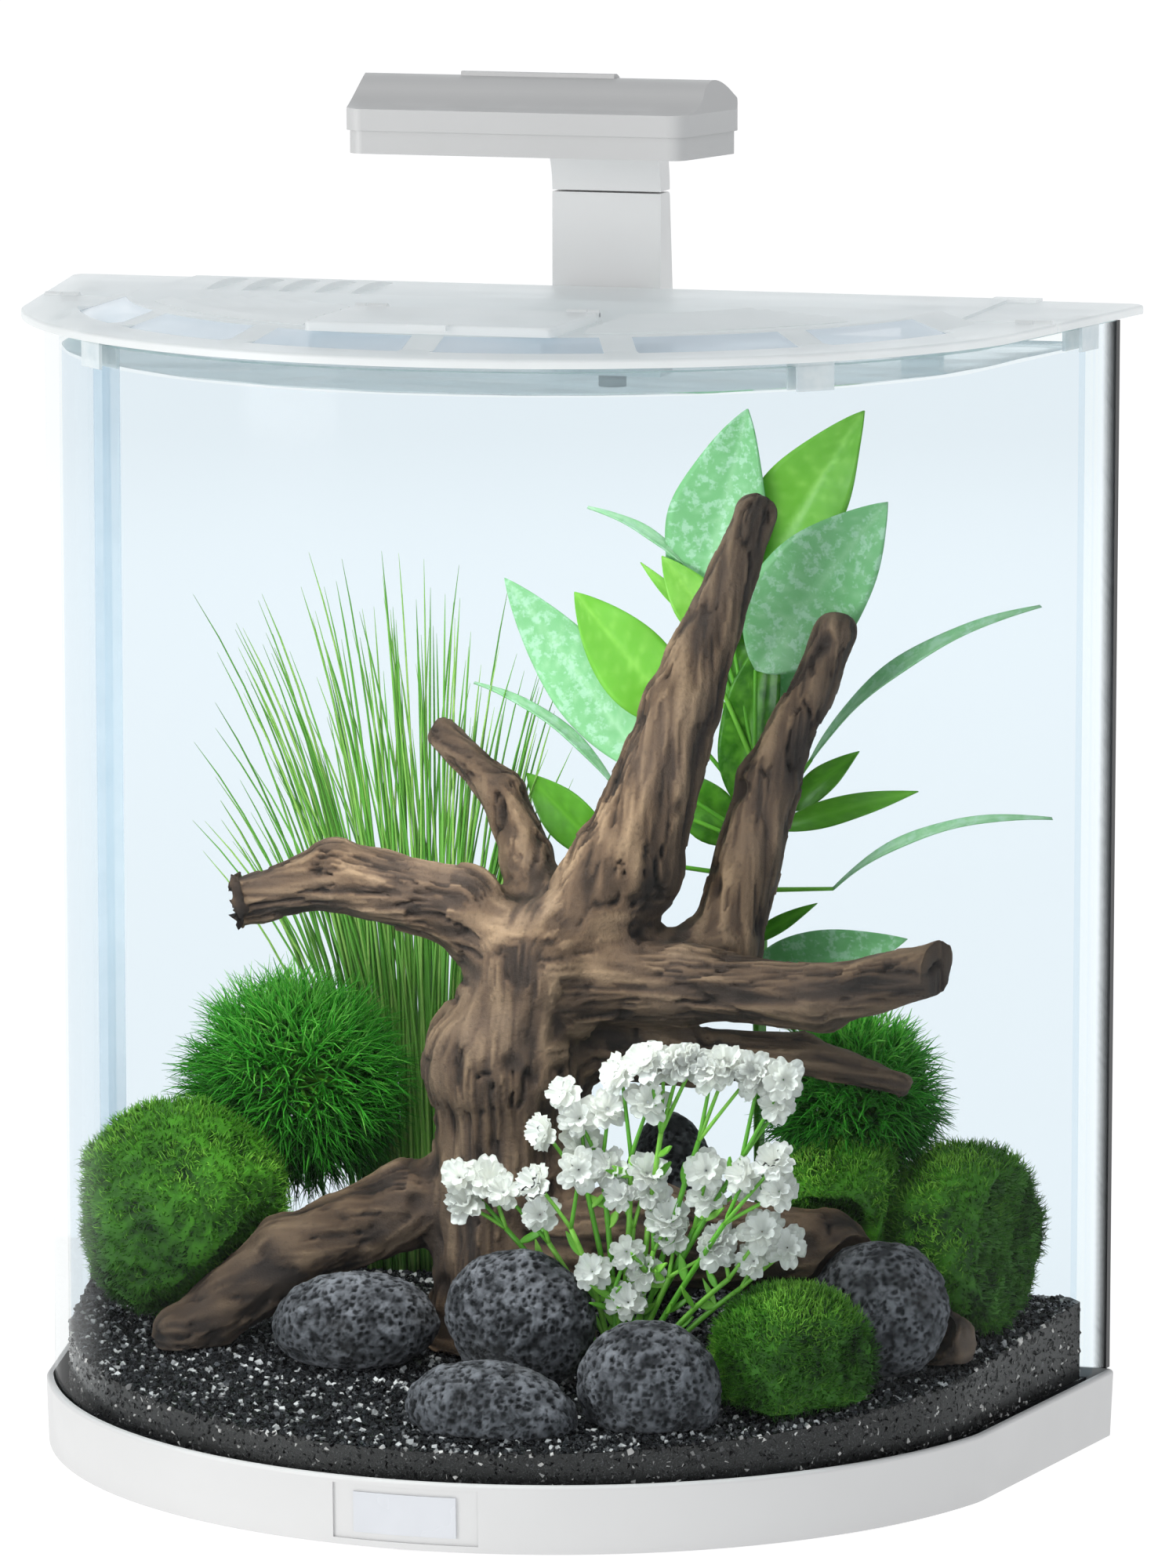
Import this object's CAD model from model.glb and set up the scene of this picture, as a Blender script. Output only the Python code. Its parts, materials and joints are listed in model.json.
import json
import math

import bpy
import numpy as np
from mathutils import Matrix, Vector, noise
from mathutils.bvhtree import BVHTree
from mathutils.kdtree import KDTree


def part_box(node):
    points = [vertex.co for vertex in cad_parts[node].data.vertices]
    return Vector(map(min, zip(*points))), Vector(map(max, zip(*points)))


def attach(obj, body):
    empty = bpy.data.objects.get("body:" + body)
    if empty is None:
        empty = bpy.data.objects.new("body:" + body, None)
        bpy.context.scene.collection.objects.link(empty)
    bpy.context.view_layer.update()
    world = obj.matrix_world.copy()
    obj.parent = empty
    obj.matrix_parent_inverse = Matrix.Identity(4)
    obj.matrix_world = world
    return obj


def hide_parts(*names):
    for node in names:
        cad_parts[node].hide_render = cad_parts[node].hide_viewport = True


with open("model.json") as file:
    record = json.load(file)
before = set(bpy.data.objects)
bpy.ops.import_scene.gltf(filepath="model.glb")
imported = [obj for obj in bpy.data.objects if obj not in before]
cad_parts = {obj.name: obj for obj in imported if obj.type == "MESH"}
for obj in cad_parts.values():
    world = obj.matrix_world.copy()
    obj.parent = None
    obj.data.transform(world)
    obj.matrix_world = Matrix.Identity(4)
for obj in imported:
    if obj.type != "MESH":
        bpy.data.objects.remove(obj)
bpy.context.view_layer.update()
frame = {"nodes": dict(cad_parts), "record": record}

NODES = frame["nodes"]
MM = 0.001
UP = np.array([0.0, 0.0, 1.0])
TAU = 2 * math.pi

# ---------------------------------------------------------------- camera and studio

CAMERA_PLACE = (0.8223, -2.7066, 0.6911)
CAMERA_AZIMUTH = math.radians(16.37)
CAMERA_ELEVATION = math.radians(9.03)
CAMERA_LENS = 190.6
ROOM_LIGHT = 0.55
BACKDROP = 1.0
FLOOR_GLOW = 0.84
STUDIO_NEAR = 1.0
COVER_GLOW = 0.14


def studio():
    scene = bpy.context.scene
    scene.view_settings.view_transform = "Standard"
    scene.cycles.transparent_max_bounces = 32

    camera = bpy.data.objects.new("camera", bpy.data.cameras.new("camera"))
    scene.collection.objects.link(camera)
    camera.location = CAMERA_PLACE
    camera.rotation_euler = (math.pi / 2 - CAMERA_ELEVATION, 0, CAMERA_AZIMUTH)
    camera.data.lens = CAMERA_LENS
    camera.data.sensor_width = 36.0
    camera.data.clip_end = 50.0
    scene.camera = camera

    world = bpy.data.worlds.new("studio")
    world.use_nodes = True
    tree = world.node_tree
    tree.nodes.clear()
    out = tree.nodes.new("ShaderNodeOutputWorld")
    mix = tree.nodes.new("ShaderNodeMixShader")
    path = tree.nodes.new("ShaderNodeLightPath")
    room = tree.nodes.new("ShaderNodeBackground")
    seen = tree.nodes.new("ShaderNodeBackground")
    room.inputs["Color"].default_value = (0.96, 0.98, 1.0, 1)
    room.inputs["Strength"].default_value = ROOM_LIGHT
    seen.inputs["Color"].default_value = (1, 1, 1, 1)
    seen.inputs["Strength"].default_value = BACKDROP
    tree.links.new(path.outputs["Is Camera Ray"], mix.inputs[0])
    tree.links.new(room.outputs[0], mix.inputs[1])
    tree.links.new(seen.outputs[0], mix.inputs[2])
    tree.links.new(mix.outputs[0], out.inputs["Surface"])
    scene.world = world

    lamps = (
        ("key", (-2.3, -2.3, 0.55), 1.4, 50.0, (1.0, 0.99, 0.97), (0, 0, 0.22)),
        ("fill", (1.6, -2.8, 0.9), 1.8, 13.0, (0.97, 0.98, 1.0), (0, 0, 0.22)),
        ("back", (-0.6, 2.4, 1.4), 1.6, 8.0, (0.97, 0.99, 1.0), (0, 0, 0.22)),
        ("tank_light", (0.0, 0.0, 0.385), 0.15, 0.22, (0.98, 1.0, 0.96), (0, 0.02, 0.0)),
        ("glass_light", (-0.02, -0.10, 0.28), 0.10, 0.80, (1.0, 1.0, 0.97), (0, 0.03, 0.04)),
    )
    for name, place, size, watts, colour, target in lamps:
        lamp = bpy.data.lights.new(name, "AREA")
        lamp.size = size
        lamp.energy = watts
        lamp.color = colour
        holder = bpy.data.objects.new(name, lamp)
        holder.location = place
        aim = Vector(target) - Vector(place)
        holder.rotation_euler = aim.to_track_quat("-Z", "Y").to_euler()
        holder.visible_camera = False
        # the lamps inside the tank light the planting but are not mirrored in the glass
        holder.visible_glossy = abs(place[1]) > STUDIO_NEAR
        scene.collection.objects.link(holder)

    floor = new_mesh("floor", [(-9, -9, 0), (9, -9, 0), (9, 9, 0), (-9, 9, 0)], [(0, 1, 2, 3)])
    put(floor, pale_floor())


# ---------------------------------------------------------------- meshes

def new_mesh(name, points, faces, smooth=True):
    mesh = bpy.data.meshes.new(name)
    mesh.from_pydata([tuple(p) for p in points], [], [tuple(int(i) for i in f) for f in faces])
    mesh.update()
    if smooth:
        mesh.polygons.foreach_set("use_smooth", [True] * len(mesh.polygons))
    thing = bpy.data.objects.new(name, mesh)
    bpy.context.scene.collection.objects.link(thing)
    return thing


def put(thing, material):
    thing.data.materials.clear()
    thing.data.materials.append(material)


class Pile:
    """Many small bodies gathered into one mesh."""

    def __init__(self):
        self.points = []
        self.faces = []
        self.count = 0
        self.tints = []

    def add(self, points, faces, tint=0.5):
        self.points.append(np.asarray(points, float))
        self.faces += [tuple(i + self.count for i in face) for face in faces]
        self.count += len(points)
        self.tints.append(np.broadcast_to(tint, len(points)).astype(float))

    def build(self, name, material, body, slot, smooth=True, box=None, replaces=()):
        points = np.concatenate(self.points)
        if box is not None:
            points = np.clip(points, box[0], box[1])
        thing = new_mesh(name, points, self.faces, smooth)
        tint = thing.data.attributes.new("tint", "FLOAT", "POINT")
        tint.data.foreach_set("value", np.concatenate(self.tints).astype(np.float32))
        return finish_piece(thing, material, body, replaces)


def finish_piece(thing, material, body, replaces=()):
    put(thing, material)
    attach(thing, body)
    if replaces:
        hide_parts(*replaces)
    return thing


def box_of(node):
    low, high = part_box(node)
    return np.array(low), np.array(high)


def unit(v):
    return v / max(np.linalg.norm(v), 1e-12)


def frame_along(direction):
    """Two directions square to the one given."""
    helper = UP if abs(direction[2]) < 0.9 else np.array([1.0, 0, 0])
    side = unit(np.cross(direction, helper))
    return side, np.cross(side, direction)


def tube(pile, path, radii, sides=6, tint=0.5, flat=1.0):
    """A closed round or oval stem along a path."""
    path = np.asarray(path, float)
    count = len(path)
    points, faces = [], []
    for i in range(count):
        ahead = unit(path[min(i + 1, count - 1)] - path[max(i - 1, 0)])
        side, other = frame_along(ahead)
        for k in range(sides):
            angle = TAU * k / sides
            ring = side * math.cos(angle) + other * math.sin(angle) * flat
            points.append(path[i] + ring * radii[i])
    for i in range(count - 1):
        for k in range(sides):
            n = (k + 1) % sides
            faces.append((i * sides + k, i * sides + n, (i + 1) * sides + n, (i + 1) * sides + k))
    faces.append(tuple(range(sides))[::-1])
    faces.append(tuple((count - 1) * sides + k for k in range(sides)))
    pile.add(points, faces, tint)


def curve_points(start, lead, end, steps):
    """A bend from start to end that first heads for lead."""
    t = np.linspace(0, 1, steps)[:, None]
    return (1 - t) ** 2 * start + 2 * t * (1 - t) * lead + t**2 * end


def blade(pile, start, lead, end, radius, steps=4, tint=0.5):
    path = curve_points(start, lead, end, steps)
    radii = radius * np.linspace(1.0, 0.12, steps)
    tube(pile, path, radii, 3, tint, 0.55)


# ---------------------------------------------------------------- materials

def linear(colour):
    return tuple(c / 12.92 if c <= 0.04045 else ((c + 0.055) / 1.055) ** 2.4 for c in colour)


class Look:
    """A node material with a few short ways to add nodes."""

    def __init__(self, name):
        self.material = bpy.data.materials.new(name)
        self.material.use_nodes = True
        self.tree = self.material.node_tree
        self.tree.nodes.clear()
        self.out = self.add("ShaderNodeOutputMaterial")

    def add(self, kind, **settings):
        node = self.tree.nodes.new(kind)
        for key, value in settings.items():
            setattr(node, key, value)
        return node

    def join(self, source, target):
        self.tree.links.new(source, target)

    def place(self):
        return self.add("ShaderNodeTexCoord").outputs["Object"]

    def noise(self, scale, detail=3.0, rough=0.55, stretch=None, distort=0.0):
        node = self.add("ShaderNodeTexNoise")
        node.inputs["Scale"].default_value = scale
        node.inputs["Detail"].default_value = detail
        node.inputs["Roughness"].default_value = rough
        node.inputs["Distortion"].default_value = distort
        self.join(self.stretched(stretch), node.inputs["Vector"])
        return node.outputs["Fac"]

    def stretched(self, stretch):
        place = self.place()
        if stretch is None:
            return place
        mapping = self.add("ShaderNodeMapping")
        mapping.inputs["Scale"].default_value = stretch
        self.join(place, mapping.inputs["Vector"])
        return mapping.outputs[0]

    def cells(self, scale, feature="F1", output="Distance"):
        node = self.add("ShaderNodeTexVoronoi", feature=feature)
        node.inputs["Scale"].default_value = scale
        self.join(self.place(), node.inputs["Vector"])
        return node.outputs[output]

    def ramp(self, source, stops):
        node = self.add("ShaderNodeValToRGB")
        bar = node.color_ramp
        while len(bar.elements) < len(stops):
            bar.elements.new(0.5)
        for element, (where, colour) in zip(bar.elements, stops):
            element.position = where
            if isinstance(colour, (int, float)):
                colour = (colour,) * 3
                element.color = (*colour, 1)
            else:
                element.color = (*linear(colour), 1)
        self.join(source, node.inputs[0])
        return node.outputs[0]

    def blend(self, amount, first, second, mode="MIX"):
        node = self.add("ShaderNodeMix", data_type="RGBA", blend_type=mode)
        for socket, value in ((node.inputs[0], amount), (node.inputs[6], first), (node.inputs[7], second)):
            if isinstance(value, (int, float)):
                socket.default_value = value
            elif isinstance(value, tuple):
                socket.default_value = (*linear(value), 1)
            else:
                self.join(value, socket)
        return node.outputs[2]

    def sum(self, *parts):
        total = None
        for source, weight in parts:
            node = self.add("ShaderNodeMath", operation="MULTIPLY")
            self.join(source, node.inputs[0])
            node.inputs[1].default_value = weight
            if total is None:
                total = node.outputs[0]
                continue
            join = self.add("ShaderNodeMath", operation="ADD")
            self.join(total, join.inputs[0])
            self.join(node.outputs[0], join.inputs[1])
            total = join.outputs[0]
        return total

    def bump(self, height, strength, distance):
        node = self.add("ShaderNodeBump")
        node.inputs["Strength"].default_value = strength
        node.inputs["Distance"].default_value = distance
        self.join(height, node.inputs["Height"])
        return node.outputs[0]

    def attribute(self, name):
        return self.add("ShaderNodeAttribute", attribute_name=name).outputs["Fac"]

    def principled(self, colour=None, roughness=0.5, metallic=0.0, normal=None, **more):
        node = self.add("ShaderNodeBsdfPrincipled")
        node.inputs["Metallic"].default_value = metallic
        for socket, value in (("Base Color", colour), ("Roughness", roughness)):
            if isinstance(value, tuple):
                node.inputs[socket].default_value = (*linear(value), 1)
            elif isinstance(value, (int, float)):
                node.inputs[socket].default_value = value
            elif value is not None:
                self.join(value, node.inputs[socket])
        if normal is not None:
            self.join(normal, node.inputs["Normal"])
        for key, value in more.items():
            node.inputs[key.replace("_", " ")].default_value = value
        return node.outputs[0]

    def end(self, shader):
        self.join(shader, self.out.inputs["Surface"])
        return self.material


def pale_floor():
    """Matt white paper, lit a little from below as on a light table."""
    look = Look("studio_floor")
    shader = look.principled((0.60, 0.60, 0.60), 0.9)
    shader.node.inputs["Emission Color"].default_value = (1, 1, 1, 1)
    shader.node.inputs["Emission Strength"].default_value = FLOOR_GLOW
    return look.end(shader)


def moulded(name, colour, roughness, grain=900.0, depth=0.00004, shade=0.03, coat=0.0):
    """Moulded plastic: fine pebble grain, faint clouding and uneven gloss."""
    look = Look(name)
    cloud = look.noise(14.0, 4.0)
    dark = tuple(max(0.0, c - shade) for c in colour)
    tone = look.ramp(cloud, [(0.35, dark), (0.65, colour)])
    gloss = look.ramp(look.noise(60.0, 2.0), [(0.3, roughness - 0.05), (0.7, roughness + 0.07)])
    normal = look.bump(look.noise(grain, 2.0, 0.7), 0.35, depth)
    return look.end(look.principled(tone, gloss, 0.0, normal, Coat_Weight=coat, Coat_Roughness=0.2))


def clear(look, tint, roughness, reflect, solid=None, amount=0.0):
    """See-through sheet: passes light straight on, with a gloss that grows towards the edge of view."""
    through = look.add("ShaderNodeBsdfTransparent")
    through.inputs[0].default_value = (*tint, 1)
    gloss = look.add("ShaderNodeBsdfGlossy")
    gloss.inputs["Color"].default_value = (1, 1, 1, 1)
    gloss.inputs["Roughness"].default_value = roughness
    facing = look.add("ShaderNodeLayerWeight")
    facing.inputs["Blend"].default_value = 0.5
    gloss_stops = [(0.0, 0.001), (0.6, 0.003), (0.85, reflect * 0.3), (1.0, reflect)]
    mirror = look.ramp(facing.outputs["Facing"], gloss_stops)
    mix = look.add("ShaderNodeMixShader")
    look.join(mirror, mix.inputs[0])
    look.join(through.outputs[0], mix.inputs[1])
    look.join(gloss.outputs[0], mix.inputs[2])
    if solid is None:
        return mix.outputs[0]
    body = look.add("ShaderNodeMixShader")
    if isinstance(amount, float):
        body.inputs[0].default_value = amount
    else:
        look.join(amount, body.inputs[0])
    look.join(mix.outputs[0], body.inputs[1])
    look.join(solid, body.inputs[2])
    return body.outputs[0]


def glass_look():
    """Float glass: clear faces, ground edges that glow blue-green."""
    look = Look("float_glass")
    normal = look.add("ShaderNodeNewGeometry").outputs["Normal"]
    split = look.add("ShaderNodeSeparateXYZ")
    look.join(normal, split.inputs[0])
    up = look.add("ShaderNodeMath", operation="ABSOLUTE")
    look.join(split.outputs["Z"], up.inputs[0])
    edge = look.ramp(up.outputs[0], [(0.5, 0.0), (0.9, 0.85)])
    streaks = look.noise(90.0, 3.0, stretch=(1, 1, 0.1))
    tone = look.ramp(streaks, [(0.3, (0.62, 0.76, 0.77)), (0.7, (0.80, 0.89, 0.89))])
    ground = look.principled(tone, 0.35)
    return look.end(clear(look, (0.975, 0.985, 0.985), 0.03, 0.35, ground, edge))


def water_look():
    look = Look("water_side")
    return look.end(clear(look, (0.905, 0.935, 0.962), 0.05, 0.02))


def surface_look():
    look = Look("water_surface")
    waves = look.noise(26.0, 3.0, 0.6, (0.5, 2.0, 1.0))
    ripples = look.ramp(waves, [(0.4, (0.42, 0.55, 0.60)), (0.62, (0.74, 0.83, 0.87))])
    pale = look.principled(ripples, 0.15)
    return look.end(clear(look, (0.78, 0.87, 0.90), 0.06, 0.5, pale, 0.6))


def cover_look():
    """Frosted translucent plastic: a milky body with a little light passing through it."""
    look = Look("frosted_cover")
    cloud = look.noise(18.0, 3.0)
    tone = look.ramp(cloud, [(0.3, (0.94, 0.94, 0.935)), (0.7, (0.98, 0.98, 0.975))])
    normal = look.bump(look.noise(1100.0, 2.0, 0.7), 0.3, 0.00004)
    gloss = look.ramp(look.noise(50.0, 2.0), [(0.3, 0.30), (0.7, 0.42)])
    white = (1, 1, 1, 1)
    face = look.principled(tone, gloss, 0.0, normal, Emission_Color=white, Emission_Strength=COVER_GLOW)
    glow = look.add("ShaderNodeBsdfTranslucent")
    glow.inputs[0].default_value = (*linear((0.90, 0.92, 0.93)), 1)
    milk = look.add("ShaderNodeMixShader")
    milk.inputs[0].default_value = 0.35
    look.join(face, milk.inputs[1])
    look.join(glow.outputs[0], milk.inputs[2])
    through = look.add("ShaderNodeBsdfTransparent")
    through.inputs[0].default_value = (0.95, 0.97, 0.98, 1)
    veil = look.add("ShaderNodeMixShader")
    veil.inputs[0].default_value = 0.72
    look.join(through.outputs[0], veil.inputs[1])
    look.join(milk.outputs[0], veil.inputs[2])
    return look.end(veil.outputs[0])


def window_look():
    look = Look("clear_window")
    haze = look.noise(25.0, 2.0)
    body = look.principled(look.ramp(haze, [(0.3, (0.88, 0.93, 0.97)), (0.7, (0.93, 0.96, 0.99))]), 0.22)
    return look.end(clear(look, (0.95, 0.975, 0.99), 0.08, 0.4, body, 0.55))


def clip_look():
    look = Look("clear_clip")
    tone = look.ramp(look.noise(120.0), [(0.3, (0.83, 0.87, 0.89)), (0.7, (0.93, 0.95, 0.95))])
    body = look.principled(tone, 0.2)
    return look.end(clear(look, (0.95, 0.97, 0.98), 0.06, 0.4, body, 0.6))


def clear_silicone():
    look = Look("clear_silicone")
    tone = look.ramp(look.noise(70.0, 3.0), [(0.3, (0.84, 0.89, 0.92)), (0.7, (0.92, 0.95, 0.97))])
    body = look.principled(tone, 0.3, 0.0, look.bump(look.noise(120.0), 0.3, 0.0001))
    return look.end(clear(look, (0.93, 0.96, 0.98), 0.1, 0.2, body, 0.3))


def seam_look():
    """Black silicone outside the corner that clears towards the bead inside the tank."""
    look = Look("corner_silicone")
    split = look.add("ShaderNodeSeparateXYZ")
    look.join(look.place(), split.inputs[0])
    outer = box_of("silicone_seam_right")[1][0]
    amount = look.ramp(split.outputs["X"], [(outer - 3.4 * MM, 0.0), (outer - 2.8 * MM, 1.0)])
    body = look.principled((0.12, 0.12, 0.13), 0.35, 0.0, look.bump(look.noise(120.0), 0.5, 0.0001))
    return look.end(clear(look, (0.93, 0.96, 0.98), 0.1, 0.2, body, amount))


def rubbery(name, colour, roughness, scale=500.0):
    look = Look(name)
    light = tuple(min(1.0, c + 0.05) for c in colour)
    tone = look.ramp(look.noise(30.0, 4.0), [(0.35, colour), (0.7, light)])
    normal = look.bump(look.noise(scale, 3.0), 0.5, 0.0001)
    return look.end(look.principled(tone, roughness, 0.0, normal))


def metal(name, colour, roughness, stretch):
    look = Look(name)
    lines = look.noise(400.0, 2.0, 0.6, stretch)
    gloss = look.ramp(lines, [(0.3, roughness - 0.08), (0.7, roughness + 0.1)])
    dark = tuple(c - 0.08 for c in colour)
    tone = look.ramp(lines, [(0.3, dark), (0.7, colour)])
    return look.end(look.principled(tone, gloss, 1.0, look.bump(lines, 0.2, 0.00003)))


def gravel_look(name):
    """Black crushed gravel: each grain has its own shade, and a few glint pale."""
    look = Look(name)
    own = look.attribute("tint")
    fleck = look.noise(1500.0, 2.0)
    base = look.ramp(own, [(0.0, (0.02, 0.02, 0.022)), (0.60, (0.07, 0.07, 0.075)),
                           (0.78, (0.24, 0.24, 0.25)), (0.92, (0.80, 0.79, 0.78))])
    tone = look.blend(look.ramp(fleck, [(0.58, 0.0), (0.72, 0.5)]), base, (0.45, 0.45, 0.46))
    gloss = look.ramp(own, [(0.0, 0.42), (0.5, 0.22), (1.0, 0.3)])
    return look.end(look.principled(tone, gloss, 0.0, look.bump(fleck, 0.5, 0.0002)))


def lava_look():
    """Grey lava rock with dark pits, warm stains and paler high spots."""
    look = Look("lava_rock")
    rise = look.attribute("tint")
    pits = look.cells(260.0)
    fine = look.noise(420.0, 5.0, 0.7)
    patch = look.noise(30.0, 4.0)
    base = look.ramp(rise, [(0.05, (0.035, 0.035, 0.04)), (0.4, (0.18, 0.18, 0.19)),
                            (0.9, (0.45, 0.45, 0.465))])
    warm = look.blend(look.ramp(patch, [(0.55, 0.0), (0.75, 0.2)]), base, (0.46, 0.44, 0.42))
    tone = look.blend(look.ramp(fine, [(0.36, 0.85), (0.52, 0.0)]), warm, (0.07, 0.07, 0.075))
    height = look.sum((fine, 0.6), (pits, 1.0))
    return look.end(look.principled(tone, 0.85, 0.0, look.bump(height, 0.8, 0.0012)))


def wood_look():
    """Weathered root wood: streaks that follow the grain, dark cracks and paler worn ridges."""
    look = Look("root_wood")
    grain = look.attribute("tint")
    patch = look.noise(22.0, 5.0, 0.6)
    speck = look.noise(700.0, 4.0, 0.7)
    base = look.ramp(grain, [(0.10, (0.03, 0.02, 0.014)), (0.34, (0.14, 0.105, 0.08)),
                             (0.60, (0.29, 0.225, 0.17)), (0.95, (0.44, 0.36, 0.28))])
    warm = look.blend(look.ramp(patch, [(0.42, 0.0), (0.68, 0.5)]), base, (0.30, 0.25, 0.22))
    tone = look.blend(look.ramp(speck, [(0.30, 0.5), (0.48, 0.0)]), warm, (0.13, 0.10, 0.08))
    height = look.sum((speck, 0.5), (look.noise(160.0, 5.0, 0.7), 0.8))
    return look.end(look.principled(tone, 0.8, 0.0, look.bump(height, 0.7, 0.001)))


def leafy(name, dark, mid, bright, roughness=0.4, glow=0.2, spots=0.0, pale=(0.80, 0.86, 0.55)):
    """Living green: own shade for each leaf, mottled, and lit through from behind."""
    look = Look(name)
    own = look.attribute("tint")
    mottle = look.noise(160.0, 4.0, 0.65)
    base = look.ramp(own, [(0.05, dark), (0.5, mid), (0.95, bright)])
    tone = look.blend(look.ramp(mottle, [(0.42, 0.0), (0.62, 0.55)]), base, mid)
    if spots:
        tone = look.blend(look.ramp(look.noise(240.0, 4.0, 0.7), [(0.5, 0.0), (0.6, spots)]), tone, pale)
    face = look.principled(tone, roughness, 0.0, look.bump(mottle, 0.4, 0.0003))
    light = look.add("ShaderNodeBsdfTranslucent")
    look.join(tone, light.inputs[0])
    mix = look.add("ShaderNodeMixShader")
    mix.inputs[0].default_value = glow
    look.join(face, mix.inputs[1])
    look.join(light.outputs[0], mix.inputs[2])
    return look.end(mix.outputs[0])


def glowing(name, colour, strength):
    look = Look(name)
    cells = look.cells(900.0)
    tone = look.ramp(cells, [(0.1, colour), (0.6, tuple(c * 0.85 for c in colour))])
    node = look.principled(tone, 0.4)
    shader = node.node
    shader.inputs["Emission Color"].default_value = (*linear(colour), 1)
    shader.inputs["Emission Strength"].default_value = strength
    return look.end(node)


LOOKS = {
    "base_plastic": moulded("satin_white_plastic", (0.81, 0.81, 0.81), 0.42, shade=0.012),
    "badge_plastic": moulded("plain_badge_plate", (0.80, 0.81, 0.83), 0.25, 600.0, coat=0.3),
    "rubber_black": rubbery("black_rubber", (0.05, 0.05, 0.05), 0.7),
    "foam": rubbery("black_foam", (0.07, 0.07, 0.07), 0.95, 1200.0),
    "tank_glass": glass_look(),
    "silicone": rubbery("black_silicone", (0.12, 0.12, 0.13), 0.35, 120.0),
    "silicone_clear": clear_silicone(),
    "clip_plastic": clip_look(),
    "cover_plastic": cover_look(),
    "window_plastic": window_look(),
    "pin_steel": metal("stainless_steel", (0.68, 0.69, 0.71), 0.3, (1, 1, 12)),
    "lamp_plastic": moulded("lamp_plastic", (0.775, 0.775, 0.775), 0.42, shade=0.010),
    "diffuser_plastic": moulded("opal_plastic", (0.95, 0.96, 0.97), 0.5),
    "led": glowing("led_chip", (0.97, 0.93, 0.70), 0.2),
    "board": moulded("white_board", (0.90, 0.90, 0.87), 0.5, 300.0),
    "aluminium": metal("bare_aluminium", (0.76, 0.77, 0.79), 0.35, (12, 1, 1)),
    "gravel": gravel_look("black_gravel"),
    "lava_stone": lava_look(),
    "driftwood": wood_look(),
    "moss": leafy("moss", (0.04, 0.17, 0.02), (0.32, 0.60, 0.13), (0.66, 0.90, 0.34), 0.65, 0.3),
    "long_grass": leafy("needle_leaves", (0.05, 0.30, 0.03), (0.30, 0.74, 0.20), (0.66, 0.96, 0.44),
                        0.45, 0.45),
    "flowers": leafy("white_blooms", (0.93, 0.94, 0.90), (0.97, 0.97, 0.95), (1.0, 1.0, 0.99), 0.5, 0.5),
    "leaves": leafy("broad_leaves", (0.18, 0.44, 0.06), (0.44, 0.72, 0.22), (0.64, 0.86, 0.40), 0.3, 0.4),
    "fine_grass": leafy("fine_blades", (0.24, 0.50, 0.14), (0.44, 0.70, 0.28), (0.70, 0.84, 0.46), 0.45, 0.4),
}
COLUMN_LOOK = moulded("column_plastic", (0.90, 0.90, 0.90), 0.42, shade=0.010)
PALE_LEAF_LOOK = leafy("mint_leaves", (0.36, 0.66, 0.36), (0.52, 0.76, 0.53), (0.74, 0.88, 0.74),
                       0.35, 0.4, 0.6, (0.76, 0.88, 0.80))
STEM_LOOK = leafy("green_stems", (0.22, 0.50, 0.08), (0.42, 0.72, 0.20), (0.62, 0.86, 0.34), 0.4, 0.3)

for part in frame["record"]["subparts"]:
    put(NODES[part["node"]], LOOKS[part["material_slot"]])
put(NODES["silicone_seam_right"], seam_look())
put(NODES["bracket_pads"], LOOKS["clip_plastic"])
for column in ("lamp_column_front", "lamp_column_rear", "lamp_arm_lower", "lamp_arm_upper"):
    put(NODES[column], COLUMN_LOOK)

studio()

# ---------------------------------------------------------------- water

WATER_BELOW_RIM = 8.5 * MM
WATER_GAP = 0.6 * MM
RIPPLE = 0.35 * MM


def hull_of(node):
    """Plan outline of a node, from its own mesh, as a ring of points."""
    mesh = NODES[node].data
    points = np.empty(len(mesh.vertices) * 3, np.float32)
    mesh.vertices.foreach_get("co", points)
    plan = sorted({(round(float(x), 5), round(float(y), 5)) for x, y, _ in points.reshape(-1, 3)})

    def half(points):
        chain = []
        for p in points:
            while len(chain) > 1:
                a, b = chain[-2], chain[-1]
                if (b[0] - a[0]) * (p[1] - a[1]) - (b[1] - a[1]) * (p[0] - a[0]) > 0:
                    break
                chain.pop()
            chain.append(p)
        return chain[:-1]

    return np.array(half(plan) + half(plan[::-1]))


def resample(ring, step):
    closed = np.vstack([ring, ring[:1]])
    lengths = np.linalg.norm(np.diff(closed, axis=0), axis=1)
    along = np.concatenate([[0], np.cumsum(lengths)])
    count = int(along[-1] / step)
    at = np.linspace(0, along[-1], count, endpoint=False)
    return np.stack([np.interp(at, along, closed[:, k]) for k in range(2)], 1)


def shrink(ring, amount):
    ahead = np.roll(ring, -1, 0) - np.roll(ring, 1, 0)
    ahead /= np.linalg.norm(ahead, axis=1)[:, None]
    inward = np.stack([-ahead[:, 1], ahead[:, 0]], 1)
    return ring + inward * amount


GRAVEL_PLAN = hull_of("gravel_bed")
GRAVEL_BOX = box_of("gravel_bed")


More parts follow.
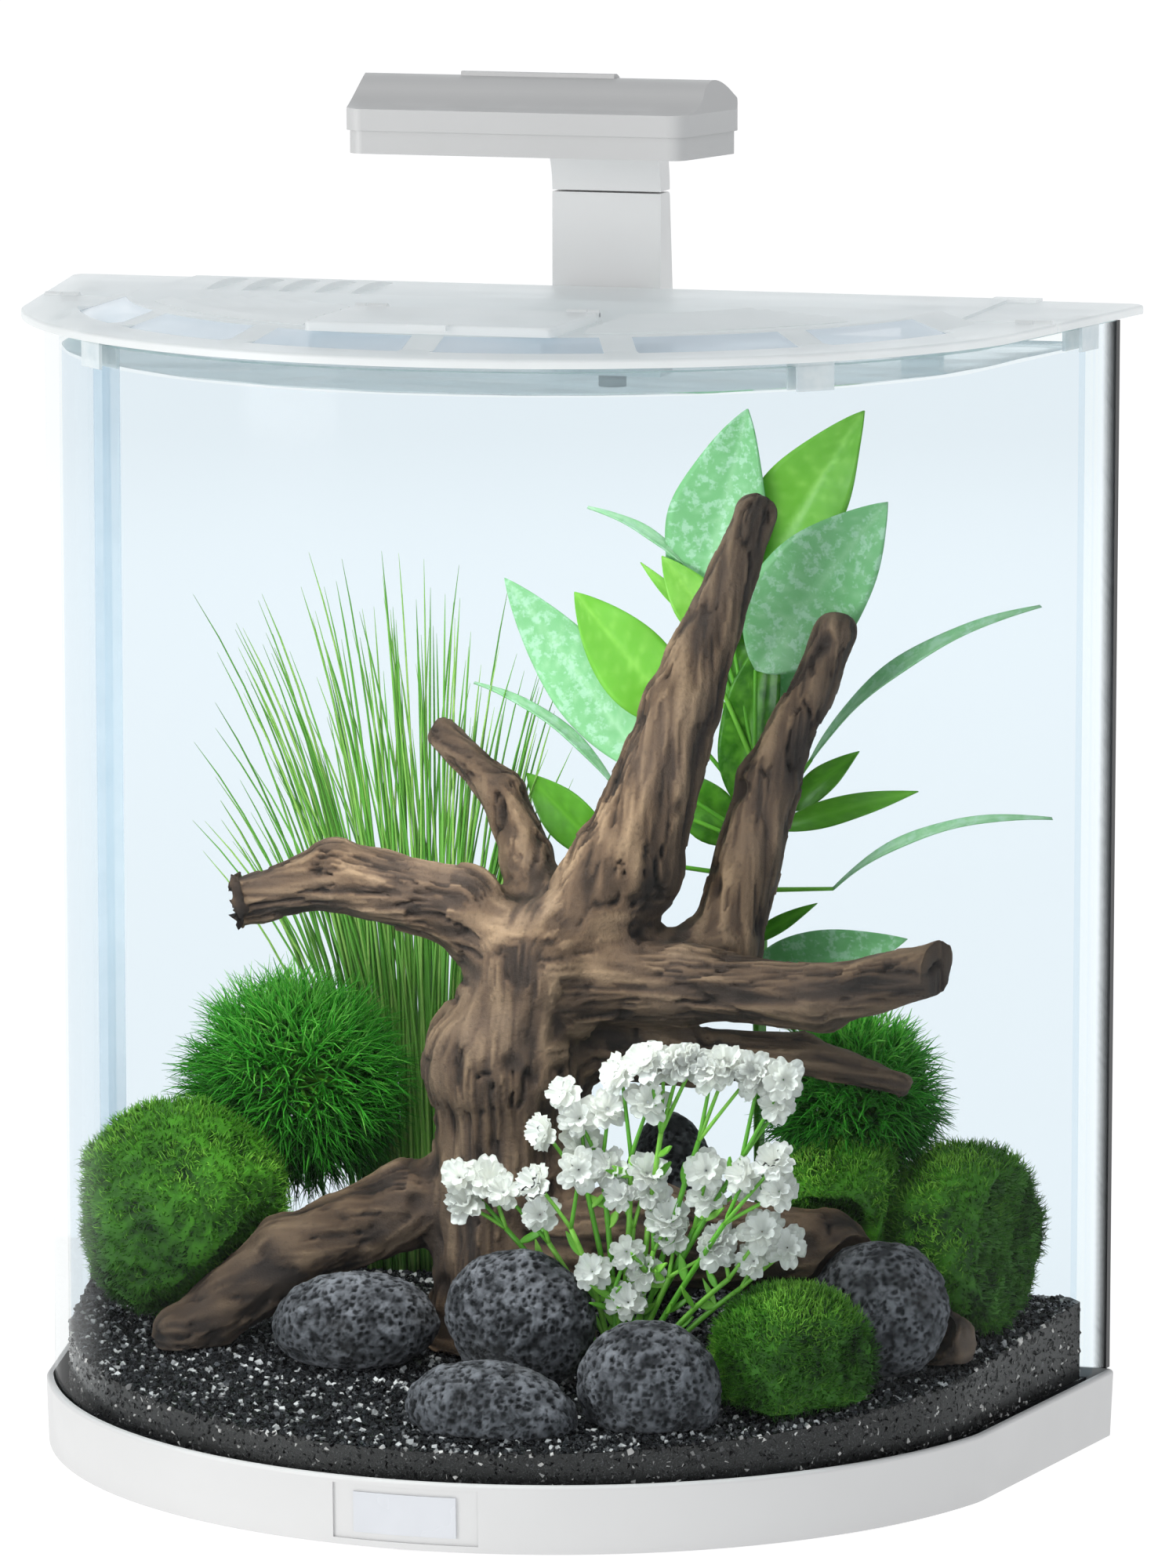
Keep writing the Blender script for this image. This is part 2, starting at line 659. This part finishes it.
def water():
    """Still water: one sleeve inside the glass, closed by a slightly rippled surface."""
    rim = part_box("front_glass")[1][2] - WATER_BELOW_RIM
    low = GRAVEL_BOX[0][2] + 2 * MM
    ring = shrink(resample(GRAVEL_PLAN, 5 * MM), WATER_GAP)
    count = len(ring)
    levels = [low, rim]
    points = [(x, y, z) for z in levels for x, y in ring]
    faces = [(k, (k + 1) % count, count + (k + 1) % count, count + k) for k in range(count)]
    faces.append(tuple(range(count))[::-1])
    side = new_mesh("water_sides", points, faces, False)
    finish_piece(side, water_look(), "tank")

    centre = ring.mean(0)
    rings = 26
    points, faces = [], []
    for layer in range(rings):
        part = 1 - layer / rings
        for x, y in centre + (ring - centre) * part:
            lift = 1.2 * MM * max(0.0, part - 0.985) / 0.015
            wave = noise.noise(Vector((x * 60, y * 60, 0.3))) * RIPPLE
            points.append((x, y, rim + wave + lift))
    points.append((centre[0], centre[1], rim))
    for layer in range(rings - 1):
        for k in range(count):
            n = (k + 1) % count
            a = layer * count
            faces.append((a + k, a + n, a + count + n, a + count + k))
    a = (rings - 1) * count
    faces += [(a + k, a + (k + 1) % count, len(points) - 1) for k in range(count)]
    top = new_mesh("water_top", points, faces)
    finish_piece(top, surface_look(), "tank")


water()

# ---------------------------------------------------------------- gravel

GRAIN = 1.9 * MM
CUBE = np.array([(x, y, z) for x in (-1, 1) for y in (-1, 1) for z in (-1, 1)], float)
CUBE_FACES = [(0, 1, 3, 2), (4, 6, 7, 5), (0, 4, 5, 1), (2, 3, 7, 6), (0, 2, 6, 4), (1, 5, 7, 3)]


def turned(rng):
    q = rng.normal(size=4)
    w, x, y, z = q / np.linalg.norm(q)
    return np.array([
        [1 - 2 * (y * y + z * z), 2 * (x * y - z * w), 2 * (x * z + y * w)],
        [2 * (x * y + z * w), 1 - 2 * (x * x + z * z), 2 * (y * z - x * w)],
        [2 * (x * z - y * w), 2 * (y * z + x * w), 1 - 2 * (x * x + y * y)],
    ])


def grain(pile, place, size, rng):
    corners = CUBE * (1 + rng.uniform(-0.42, 0.2, (8, 3))) * size * 0.42 * rng.uniform(0.75, 1.2, 3)
    pile.add(corners @ turned(rng).T + place, CUBE_FACES, rng.random() ** 1.6)


def gravel():
    rng = np.random.default_rng(11)
    tree = BVHTree.FromObject(NODES["gravel_bed"], bpy.context.evaluated_depsgraph_get())
    roof = GRAVEL_BOX[1][2] + 10 * MM

    def top_at(x, y):
        hit = tree.ray_cast(Vector((x, y, roof)), Vector((0, 0, -1)))[0]
        return None if hit is None else hit.z

    pile = Pile()
    for layer, inset in ((0, 0.8 * MM), (1, 1.9 * MM)):
        ring = shrink(resample(GRAVEL_PLAN, GRAIN * 0.9), inset)
        for x, y in ring:
            top = top_at(x, y)
            if top is None:
                continue
            if y > GRAVEL_BOX[1][1] - 8 * MM and layer == 1:
                continue
            z = GRAVEL_BOX[0][2] + 1.2 * MM + layer * GRAIN / 2
            while z < top:
                shift = rng.uniform(-0.3, 0.3, 3) * MM * (1, 1, 1.6)
                grain(pile, np.array((x, y, z)) + shift, GRAIN * rng.uniform(0.8, 1.1), rng)
                z += GRAIN * 0.8
    low, high = GRAVEL_BOX
    pitch = GRAIN * 0.9
    for x in np.arange(low[0] + 3 * MM, high[0] - 3 * MM, pitch):
        for y in np.arange(low[1] + 3 * MM, high[1] - 3 * MM, pitch):
            px, py = x + rng.uniform(-1, 1) * MM, y + rng.uniform(-1, 1) * MM
            top = top_at(px, py)
            if top is not None:
                place = np.array((px, py, top + rng.uniform(-0.6, 0.7) * MM))
                grain(pile, place, GRAIN * rng.uniform(0.75, 1.3), rng)
    pile.build("gravel_grains", LOOKS["gravel"], "tank", "gravel", smooth=False)


gravel()

# ---------------------------------------------------------------- stones and wood, carved from their solids

def remeshed(node, name, voxel):
    copy = NODES[node].copy()
    copy.data = NODES[node].data.copy()
    copy.name = name
    bpy.context.scene.collection.objects.link(copy)
    weld = copy.modifiers.new("weld", "WELD")
    weld.merge_threshold = 0.00002
    change = copy.modifiers.new("remesh", "REMESH")
    change.mode = "VOXEL"
    change.voxel_size = voxel
    graph = bpy.context.evaluated_depsgraph_get()
    mesh = bpy.data.meshes.new_from_object(copy.evaluated_get(graph))
    bpy.data.objects.remove(copy)
    mesh.name = name
    mesh.polygons.foreach_set("use_smooth", [True] * len(mesh.polygons))
    thing = bpy.data.objects.new(name, mesh)
    bpy.context.scene.collection.objects.link(thing)
    return thing


def read(mesh, what, size=3):
    block = {"co": mesh.vertices, "normal": mesh.vertex_normals}[what]
    values = np.empty(len(mesh.vertices) * size, np.float32)
    block.foreach_get("co" if what == "co" else "vector", values)
    return values.reshape(-1, size).astype(float)


def edges_of(mesh):
    pairs = np.empty(len(mesh.edges) * 2, np.int32)
    mesh.edges.foreach_get("vertices", pairs)
    return pairs.reshape(-1, 2)


def relaxed(points, pairs, rounds, amount=0.5):
    count = len(points)
    degree = np.bincount(pairs.ravel(), minlength=count)[:, None]
    for _ in range(rounds):
        total = np.stack([
            np.bincount(pairs[:, 0], points[pairs[:, 1], k], count)
            + np.bincount(pairs[:, 1], points[pairs[:, 0], k], count)
            for k in range(points.shape[1])
        ], 1)
        points = points + (total / degree - points) * amount
    return points


def store(thing, points, tint):
    thing.data.vertices.foreach_set("co", points.astype(np.float32).ravel())
    layer = thing.data.attributes.new("tint", "FLOAT", "POINT")
    layer.data.foreach_set("value", tint.astype(np.float32))
    thing.data.update()


def scaled(values, low=2, high=98):
    a, b = np.percentile(values, (low, high))
    return np.clip((values - a) / (b - a), 0, 1)


def fractal(points, scale, octaves=4, seed=0.0):
    shift = Vector((seed, 0, 0))
    return np.array([noise.fractal(Vector(p) * scale + shift, 0.6, 2.1, octaves) for p in points])


def lava(node, seed):
    """Rough pitted rock, carved inwards from its CAD solid."""
    thing = remeshed(node, node + "_rock", 0.9 * MM)
    mesh = thing.data
    pairs = edges_of(mesh)
    points = relaxed(read(mesh, "co"), pairs, 3)
    mesh.vertices.foreach_set("co", points.astype(np.float32).ravel())
    mesh.update()
    normals = read(mesh, "normal")
    lumps = scaled(fractal(points, 45.0, 3, seed))
    grit = scaled(fractal(points, 170.0, 4, seed + 9))
    pits = np.array([noise.voronoi(Vector(p) * 420.0 + Vector((seed, 0, 0)))[0][0] for p in points])
    pits = np.clip(1.3 * (1 - pits / 0.42), 0, 1) ** 0.8
    depth = 1.2 * MM * (1 - lumps) + 0.8 * MM * (1 - grit) + 1.1 * MM * pits
    store(thing, points - normals * depth[:, None], np.clip(0.3 + 0.5 * grit + 0.2 * lumps - pits, 0, 1))
    finish_piece(thing, LOOKS["lava_stone"], "tank", [node])


for number in range(1, 7):
    lava(f"lava_stone_{number}", number * 3.7)


def limb_axes(points, normals, spacing=7 * MM, reach=17 * MM):
    """Direction of the limb under each point: the one that its neighbours' normals are square to."""
    keys = np.unique(np.round(points / spacing).astype(int), axis=0, return_index=True)[1]
    tree = KDTree(len(points))
    for i, p in enumerate(points[::3]):
        tree.insert(p, i * 3)
    tree.balance()
    axes = []
    for i in keys:
        near = [n for _, n, _ in tree.find_range(points[i], reach)]
        spread = normals[near].T @ normals[near]
        axes.append(np.linalg.eigh(spread)[1][:, 0])
    axes = np.array(axes)
    few = KDTree(len(keys))
    for k, i in enumerate(keys):
        few.insert(points[i], k)
    few.balance()
    axes *= np.where(axes @ np.array([0.3, 0.1, 1.0]) < 0, -1, 1)[:, None]
    result = np.empty_like(points)
    for i, p in enumerate(points):
        total = np.zeros(3)
        first = None
        for _, k, gap in few.find_n(p, 4):
            axis = axes[k]
            if first is None:
                first = axis
            total += axis * (1 if axis @ first > 0 else -1) / (gap + MM)
        result[i] = unit(total)
    return result


def streaked(values, points, pairs, axes, rounds):
    """Smears values along the grain."""
    count = len(values)
    along = points[pairs[:, 1]] - points[pairs[:, 0]]
    along /= np.linalg.norm(along, axis=1)[:, None] + 1e-12
    lean = np.abs((along * (axes[pairs[:, 0]] + axes[pairs[:, 1]]) / 2).sum(1))
    weight = lean**6 + 0.003
    total_weight = np.bincount(pairs[:, 0], weight, count) + np.bincount(pairs[:, 1], weight, count)
    for _ in range(rounds):
        total = np.bincount(pairs[:, 0], weight * values[pairs[:, 1]], count)
        total += np.bincount(pairs[:, 1], weight * values[pairs[:, 0]], count)
        values = 0.3 * values + 0.7 * total / total_weight
    return values


def driftwood():
    """Root wood: long grooves and cracks that follow each limb, pits and knots."""
    rng = np.random.default_rng(5)
    thing = remeshed("driftwood", "driftwood_root", 1.35 * MM)
    mesh = thing.data
    pairs = edges_of(mesh)
    points = relaxed(read(mesh, "co"), pairs, 10)
    mesh.vertices.foreach_set("co", points.astype(np.float32).ravel())
    mesh.update()
    normals = read(mesh, "normal")
    axes = limb_axes(points, normals)
    coarse = scaled(streaked(fractal(points, 120.0, 2, 4.0), points, pairs, axes, 60), 4, 96)
    fine = scaled(streaked(rng.normal(size=len(points)), points, pairs, axes, 26), 4, 96)
    knots = scaled(fractal(points, 28.0, 3, 8.0))
    cracks = np.clip(1 - np.abs(coarse - 0.38) / 0.06, 0, 1) * np.clip(1.9 - knots * 2.6, 0, 1)
    holes = np.array([noise.voronoi(Vector(p) * 33.0)[0][0] for p in points])
    holes = np.clip(1 - holes / 0.17, 0, 1)
    depth = (1.5 * MM * (1 - coarse) + 0.9 * MM * (1 - fine) + 1.3 * MM * (1 - knots)
             + 2.8 * MM * cracks + 3.4 * MM * holes)
    tint = (0.02 + 0.50 * coarse + 0.46 * fine + 0.15 * knots) * (1 - 0.9 * cracks) * (1 - 0.95 * holes)
    store(thing, points - normals * depth[:, None], tint)
    finish_piece(thing, LOOKS["driftwood"], "tank", ["driftwood"])


driftwood()

# ---------------------------------------------------------------- moss and long grass

def scatter(mesh, count, rng):
    """Random points on a mesh with their face normals."""
    mesh.calc_loop_triangles()
    corners = np.empty(len(mesh.loop_triangles) * 3, np.int32)
    mesh.loop_triangles.foreach_get("vertices", corners)
    corners = corners.reshape(-1, 3)
    points = read(mesh, "co")
    a, b, c = (points[corners[:, k]] for k in range(3))
    cross = np.cross(b - a, c - a)
    area = np.linalg.norm(cross, axis=1)
    pick = rng.choice(len(area), count, p=area / area.sum())
    u, v = rng.random(count), rng.random(count)
    flip = u + v > 1
    u[flip], v[flip] = 1 - u[flip], 1 - v[flip]
    spots = a[pick] + (b[pick] - a[pick]) * u[:, None] + (c[pick] - a[pick]) * v[:, None]
    return spots, cross[pick] / area[pick][:, None]


def moss_ball(node, seed, count=9000):
    """Moss: an uneven cushion under a coat of short curled shoots."""
    rng = np.random.default_rng(seed)
    low, high = box_of(node)
    thing = remeshed(node, node + "_cushion", 2.2 * MM)
    mesh = thing.data
    pairs = edges_of(mesh)
    points = relaxed(read(mesh, "co"), pairs, 3)
    mesh.vertices.foreach_set("co", points.astype(np.float32).ravel())
    mesh.update()
    lumps = scaled(fractal(points, 60.0, 3, seed))
    inner = points - read(mesh, "normal") * ((3.0 + 3.5 * (1 - lumps)) * MM)[:, None]
    store(thing, inner, 0.35 * lumps)
    finish_piece(thing, LOOKS["moss"], "tank", [node])
    spots, normals = scatter(mesh, count, rng)
    pile = Pile()
    for spot, normal in zip(spots, normals):
        lean = unit(normal + rng.normal(size=3) * 0.45)
        length = rng.uniform(2.0, 4.4) * MM
        end = spot + unit(lean + UP * 0.25) * length
        patch = noise.noise(Vector(spot) * 45.0 + Vector((seed, 0, 0)))
        lit = np.clip(0.34 + 0.34 * normal[2] + 0.5 * patch + rng.normal() * 0.13, 0, 1)
        blade(pile, spot, spot + normal * length * 0.6, end, rng.uniform(0.3, 0.5) * MM, 3, lit)
    pile.build(node + "_shoots", LOOKS["moss"], "tank", "moss", True, (low, high))


def grass_ball(node, seed, count=6400):
    """Dense ball of short curved needle leaves that spring in tufts from a round core."""
    rng = np.random.default_rng(seed)
    low, high = box_of(node)
    radius = (high[0] - low[0]) / 2
    centre = np.array([(low[0] + high[0]) / 2, (low[1] + high[1]) / 2, high[2] - radius])
    reach_box = (low, high)
    core, pile = Pile(), Pile()
    for _ in range(220):
        out = unit(rng.normal(size=3))
        end = centre + out * radius * 0.62
        tube(core, curve_points(centre, centre + out * radius * 0.3 + UP * 4 * MM, end, 4),
             np.linspace(0.9, 0.5, 4) * MM, 5, 0.25)
    tufts = [unit(rng.normal(size=3)) for _ in range(count // 8)]
    for number in range(count):
        aim = tufts[number // 8]
        start = centre + aim * radius * rng.uniform(0.45, 0.66)
        out = unit(aim + rng.normal(size=3) * 0.42)
        length = radius * rng.uniform(0.24, 0.42)
        lead = start + out * length * 0.55 + UP * length * 0.12
        end = start + unit(out + rng.normal(size=3) * 0.15) * length
        if np.linalg.norm(end - centre) > radius * 1.02:
            end = centre + unit(end - centre) * radius * 1.02
        lit = np.clip(0.34 + 0.34 * aim[2] + rng.normal() * 0.17, 0, 1)
        blade(pile, start, lead, end, rng.uniform(0.55, 0.9) * MM, 4, lit)
    pile.build(node + "_leaves", LOOKS["long_grass"], "tank", "long_grass", True, reach_box, [node])
    core.build(node + "_stalks", STEM_LOOK, "tank", "long_grass", True, reach_box)


for number in range(1, 5):
    moss_ball(f"moss_ball_{number}", 20 + number)
grass_ball("grass_ball_left", 31)
grass_ball("grass_ball_right", 32)

# ---------------------------------------------------------------- broad-leaf plant

def leaf(pile, base, tip, width, face, bend, rng, tint, thickness=0.35 * MM, rows=14, cols=8, vein=0.2):
    """A closed leaf: pointed oval sheet folded along its rib, with a waved edge and raised veins."""
    axis = tip - base
    length = np.linalg.norm(axis)
    ahead = axis / length
    face = unit(face - ahead * (face @ ahead))
    side = np.cross(ahead, face)
    phase = rng.uniform(0, TAU)
    veins = length / (7 * MM)
    grids, shades = [], []
    for layer in (1, -1):
        for i in range(rows + 1):
            t = i / rows
            half = width / 2 * math.sin(math.pi * t**0.82) ** 0.85 if 0 < i < rows else 0.15 * MM
            arch = bend * length * 4 * t * (1 - t)
            for k in range(cols + 1):
                s = 2 * k / cols - 1
                fold = abs(s) * half * 0.25
                wave = math.sin(t * 13 + phase + s) * half * 0.08 * abs(s) ** 2
                ridge = max(0.0, math.cos(TAU * (t * veins - abs(s) * 0.9))) ** 4 * (1 - abs(s) ** 3)
                rib = math.exp(-((s * half) / (0.9 * MM)) ** 2)
                lift = arch + fold + wave + ridge * 0.18 * MM + layer * (thickness + rib * 0.25 * MM)
                grids.append(base + ahead * (t * length) + side * (s * half) + face * lift)
                shades.append(min(1.0, tint + vein * max(ridge, rib)))
    per = cols + 1
    offset = per * (rows + 1)
    faces = []
    for i in range(rows):
        for k in range(cols):
            a = i * per + k
            faces.append((a, a + 1, a + per + 1, a + per))
            faces.append((a + offset, a + offset + per, a + offset + per + 1, a + offset + 1))
    rim = [k for k in range(per)]
    rim += [i * per + cols for i in range(1, rows + 1)]
    rim += [rows * per + k for k in range(cols - 1, -1, -1)]
    rim += [i * per for i in range(rows - 1, 0, -1)]
    for a, b in zip(rim, rim[1:] + rim[:1]):
        faces.append((b, a, a + offset, b + offset))
    pile.add(grids, faces, shades)


# Leaves in shares of the plant's box, left to right and bottom to top:
# base, tip, width over length, bend, shade, depth share, and whether it is one of the pale ones
LEAVES = [
    ((0.32, 0.75), (0.43, 0.985), 0.46, -0.03, 0.45, 0.35, True),
    ((0.42, 0.76), (0.65, 0.985), 0.42, 0.04, 0.62, 0.60, False),
    ((0.45, 0.70), (0.71, 0.89), 0.52, 0.03, 0.50, 0.20, True),
    ((0.30, 0.63), (0.08, 0.775), 0.44, 0.04, 0.55, 0.55, False),
    ((0.24, 0.58), (-0.05, 0.79), 0.30, -0.05, 0.55, 0.30, True),
    ((0.40, 0.55), (0.48, 0.75), 0.32, 0.02, 0.08, 0.50, False),
    ((0.32, 0.80), (0.11, 0.87), 0.11, 0.10, 0.75, 0.45, True),
    ((0.34, 0.74), (0.21, 0.81), 0.16, 0.08, 0.65, 0.60, False),
    ((0.40, 0.72), (0.26, 0.82), 0.42, 0.04, 0.70, 0.40, False),
    ((0.55, 0.60), (1.00, 0.78), 0.09, 0.11, 0.70, 0.50, True),
    ((0.60, 0.46), (1.03, 0.55), 0.07, 0.12, 0.75, 0.35, True),
    ((0.48, 0.52), (0.76, 0.57), 0.18, 0.07, 0.40, 0.60, False),
    ((0.43, 0.36), (0.75, 0.41), 0.34, 0.08, 0.35, 0.30, True),
    ((0.16, 0.56), (-0.12, 0.67), 0.09, 0.12, 0.65, 0.50, True),
    ((0.14, 0.48), (-0.02, 0.57), 0.42, 0.05, 0.35, 0.65, False),
    ((0.42, 0.39), (0.56, 0.44), 0.20, 0.05, 0.25, 0.65, False),
    ((0.40, 0.50), (0.27, 0.58), 0.55, 0.05, 0.15, 0.70, False),
    ((0.46, 0.62), (0.58, 0.77), 0.30, 0.05, 0.45, 0.75, True),
    ((0.50, 0.54), (0.64, 0.61), 0.30, 0.05, 0.30, 0.70, False),
    ((0.36, 0.66), (0.50, 0.80), 0.34, 0.04, 0.12, 0.80, False),
]


def broad_leaf_plant():
    rng = np.random.default_rng(44)
    low, high = box_of("broad_leaf_plant")
    size = high - low
    root = np.array([low[0] + 0.45 * size[0], (low[1] + high[1]) / 2, low[2]])
    crown = root + (0, 0, 0.45 * size[2])
    greens, pales, stems = Pile(), Pile(), Pile()
    for base, tip, ratio, bend, tint, depth, pale in LEAVES:
        y = low[1] + depth * size[1]
        start = np.array([low[0] + base[0] * size[0], y, low[2] + base[1] * size[2]])
        end = np.array([low[0] + tip[0] * size[0], y - 0.08 * size[1], low[2] + tip[1] * size[2]])
        length = np.linalg.norm(end - start)
        face = np.array([rng.uniform(-0.15, 0.15), -1.0, rng.uniform(0.05, 0.25)])
        if ratio < 0.12:
            face = np.array([0.1, -0.45, 0.9])
        rows = max(14, int(length / (2.2 * MM)))
        leaf(pales if pale else greens, start, end, ratio * length, face, bend, rng, tint, rows=rows, cols=14)
        lead = np.array([crown[0], y, start[2] * 0.45 + crown[2] * 0.55])
        stalk = np.vstack([curve_points(root, crown * (1, 0, 1) + (0, y, 0), lead, 7)[:-1],
                           curve_points(lead, (lead + start) / 2, start, 6)])
        tube(stems, stalk, np.linspace(1.4, 0.7, len(stalk)) * MM, 7, 0.25 + 0.4 * rng.random())
    greens.build("broad_leaves", LOOKS["leaves"], "tank", "leaves", True, None, ["broad_leaf_plant"])
    pales.build("broad_pale_leaves", PALE_LEAF_LOOK, "tank", "leaves")
    stems.build("broad_leaf_stems", STEM_LOOK, "tank", "leaves")


broad_leaf_plant()

# ---------------------------------------------------------------- fine grass

def fine_grass(count=210):
    rng = np.random.default_rng(53)
    low, high = box_of("grass_clump")
    size = high - low
    pile = Pile()
    for _ in range(count):
        share = rng.beta(1.2, 1.2)
        foot = low + size * (0.46 + 0.26 * share + 0.02 * rng.normal(), rng.uniform(0.3, 0.7), 0.0)
        edge = abs(share - 0.5) * 2
        height = rng.uniform(0.62, 1.0) * (1 - 0.16 * edge**2)
        across = np.clip(share + 0.10 * rng.normal(), 0.01, 0.99)
        head = low + size * (across, rng.uniform(0.05, 0.95), height)
        lead = foot + (head - foot) * (0.22, 0.5, 0.66)
        lit = np.clip(0.20 + 0.70 * rng.random(), 0, 1)
        path = curve_points(foot, lead, head, 12)
        radii = rng.uniform(0.75, 1.1) * MM * np.linspace(1.0, 0.0, 12) ** 0.45 + 0.08 * MM
        tube(pile, path, radii, 5, lit, 0.7)
    shell = (low, high)
    pile.build("fine_grass_blades", LOOKS["fine_grass"], "tank", "fine_grass", True, shell, ["grass_clump"])


fine_grass()

# ---------------------------------------------------------------- flowering plant

def bloom(pile, place, face, radius, rng):
    """A small ruffled bloom: nested cups of notched, crinkled petals."""
    face = unit(face)
    side, other = frame_along(face)
    rows, cols = 6, 48
    for layer, (grow, cup) in enumerate(((1.0, 0.10), (0.86, 0.38), (0.62, 0.75))):
        petals = 5
        phase = rng.uniform(0, TAU)
        wild = rng.uniform(0.82, 1.12, petals)
        dips = rng.uniform(-0.12, 0.12, petals)
        points = []
        for sheet in (0.2 * MM, -0.2 * MM):
            for i in range(rows + 1):
                t = 0.06 + 0.94 * i / rows
                for k in range(cols):
                    angle = TAU * k / cols
                    part = (angle * petals / TAU) % petals
                    petal = int(part)
                    across = abs(2 * (part - petal) - 1)
                    lobe = (1 - 0.42 * across**3 - 0.10 * (across < 0.12)) * wild[petal]
                    crinkle = math.sin(angle * 17 + phase * 3) * 0.07 * t**2
                    r = radius * grow * t * (1 - (1 - lobe) * t)
                    lift = radius * (cup * t**1.5 + crinkle + dips[petal] * t * (1 - across)) + sheet
                    turn = angle + phase
                    out = side * r * math.cos(turn) + other * r * math.sin(turn)
                    points.append(place + out + face * lift)
        faces = []
        ring = (rows + 1) * cols
        for i in range(rows):
            for k in range(cols):
                n = (k + 1) % cols
                a, b = i * cols, (i + 1) * cols
                faces.append((a + k, a + n, b + n, b + k))
                faces.append((ring + a + k, ring + b + k, ring + b + n, ring + a + n))
        for k in range(cols):
            n = (k + 1) % cols
            a = rows * cols
            faces.append((a + k, ring + a + k, ring + a + n, a + n))
            faces.append((n, ring + n, ring + k, k))
        pile.add(points, faces, np.clip(0.55 + 0.12 * layer + rng.normal() * 0.12, 0, 1))


# Sprays in shares of the plant's box, with the number of blooms on each
SPRAYS = [
    ((0.64, 0.97), 4), ((0.80, 0.95), 3), ((0.93, 0.89), 3), ((0.40, 0.82), 2), ((0.54, 0.87), 2),
    ((0.35, 0.73), 3), ((0.07, 0.56), 3), ((0.23, 0.53), 2), ((0.34, 0.62), 2), ((0.51, 0.61), 3),
    ((0.60, 0.54), 2), ((0.77, 0.61), 3), ((0.91, 0.65), 3), ((0.47, 0.38), 2), ((0.54, 0.31), 2),
    ((0.70, 0.44), 2), ((0.83, 0.47), 2), ((0.92, 0.42), 2),
]


def flower_plant():
    rng = np.random.default_rng(61)
    low, high = box_of("flower_plant")
    size = high - low
    root = np.array([(low[0] + high[0]) / 2, (low[1] + high[1]) / 2, low[2] + 1 * MM])
    petals, stems, leaves = Pile(), Pile(), Pile()
    for (across, up), blooms in SPRAYS:
        middle = np.array([low[0] + across * size[0], low[1] + rng.uniform(0.15, 0.45) * size[1],
                           low[2] + up * size[2]])
        fork = middle + (root - middle) * 0.22 + rng.normal(size=3) * (2, 2, 1) * MM
        lean = np.array([root[0] * 0.7 + middle[0] * 0.3, root[1], (root[2] + fork[2]) / 2])
        stem = curve_points(root + rng.normal(size=3) * (4, 2, 0) * MM, lean, fork, 12)
        tube(stems, stem, np.linspace(1.2, 0.9, 12) * MM, 7, rng.uniform(0.3, 0.9))
        spin = rng.uniform(0, TAU)
        for k in range(blooms):
            angle = spin + TAU * k / blooms
            gap = 6.5 * MM if blooms > 1 else 0.0
            depth = rng.uniform(-2, 2) * MM
            place = middle + np.array([math.cos(angle) * gap * 1.25, depth, math.sin(angle) * gap * 0.9])
            radius = rng.uniform(6.8, 8.6) * MM
            face = np.array([math.cos(angle) * 0.4 + rng.normal() * 0.2, -1.0, 0.55 + rng.normal() * 0.25])
            margin = radius * np.array((0.8, 0.3, 0.8))
            place = np.clip(place, low + margin, high - margin)
            bloom(petals, place, face, radius, rng)
            twig = curve_points(fork, (fork + place) / 2 + (0, 1 * MM, 0), place + (0, 1.5 * MM, -1 * MM), 7)
            tube(stems, twig, np.linspace(0.8, 0.6, 7) * MM, 6, rng.uniform(0.3, 0.9))
        for _ in range(3):
            start = stem[rng.integers(4, 11)]
            turn = unit(np.array([rng.normal(), rng.uniform(-0.6, 0.2), rng.uniform(0.2, 1.0)]))
            leaf(leaves, start, start + turn * rng.uniform(7, 13) * MM, rng.uniform(2.0, 3.6) * MM,
                 np.array([rng.normal() * 0.3, -1, 0.5]), -0.06, rng, rng.uniform(0.3, 0.9), 0.2 * MM, 8, 4)
    shell = (low, high)
    petals.build("flower_petals", LOOKS["flowers"], "tank", "flowers", True, shell, ["flower_plant"])
    stems.build("flower_stems", STEM_LOOK, "tank", "flowers", True, shell)
    leaves.build("flower_leaves", STEM_LOOK, "tank", "flowers", True, shell)


flower_plant()
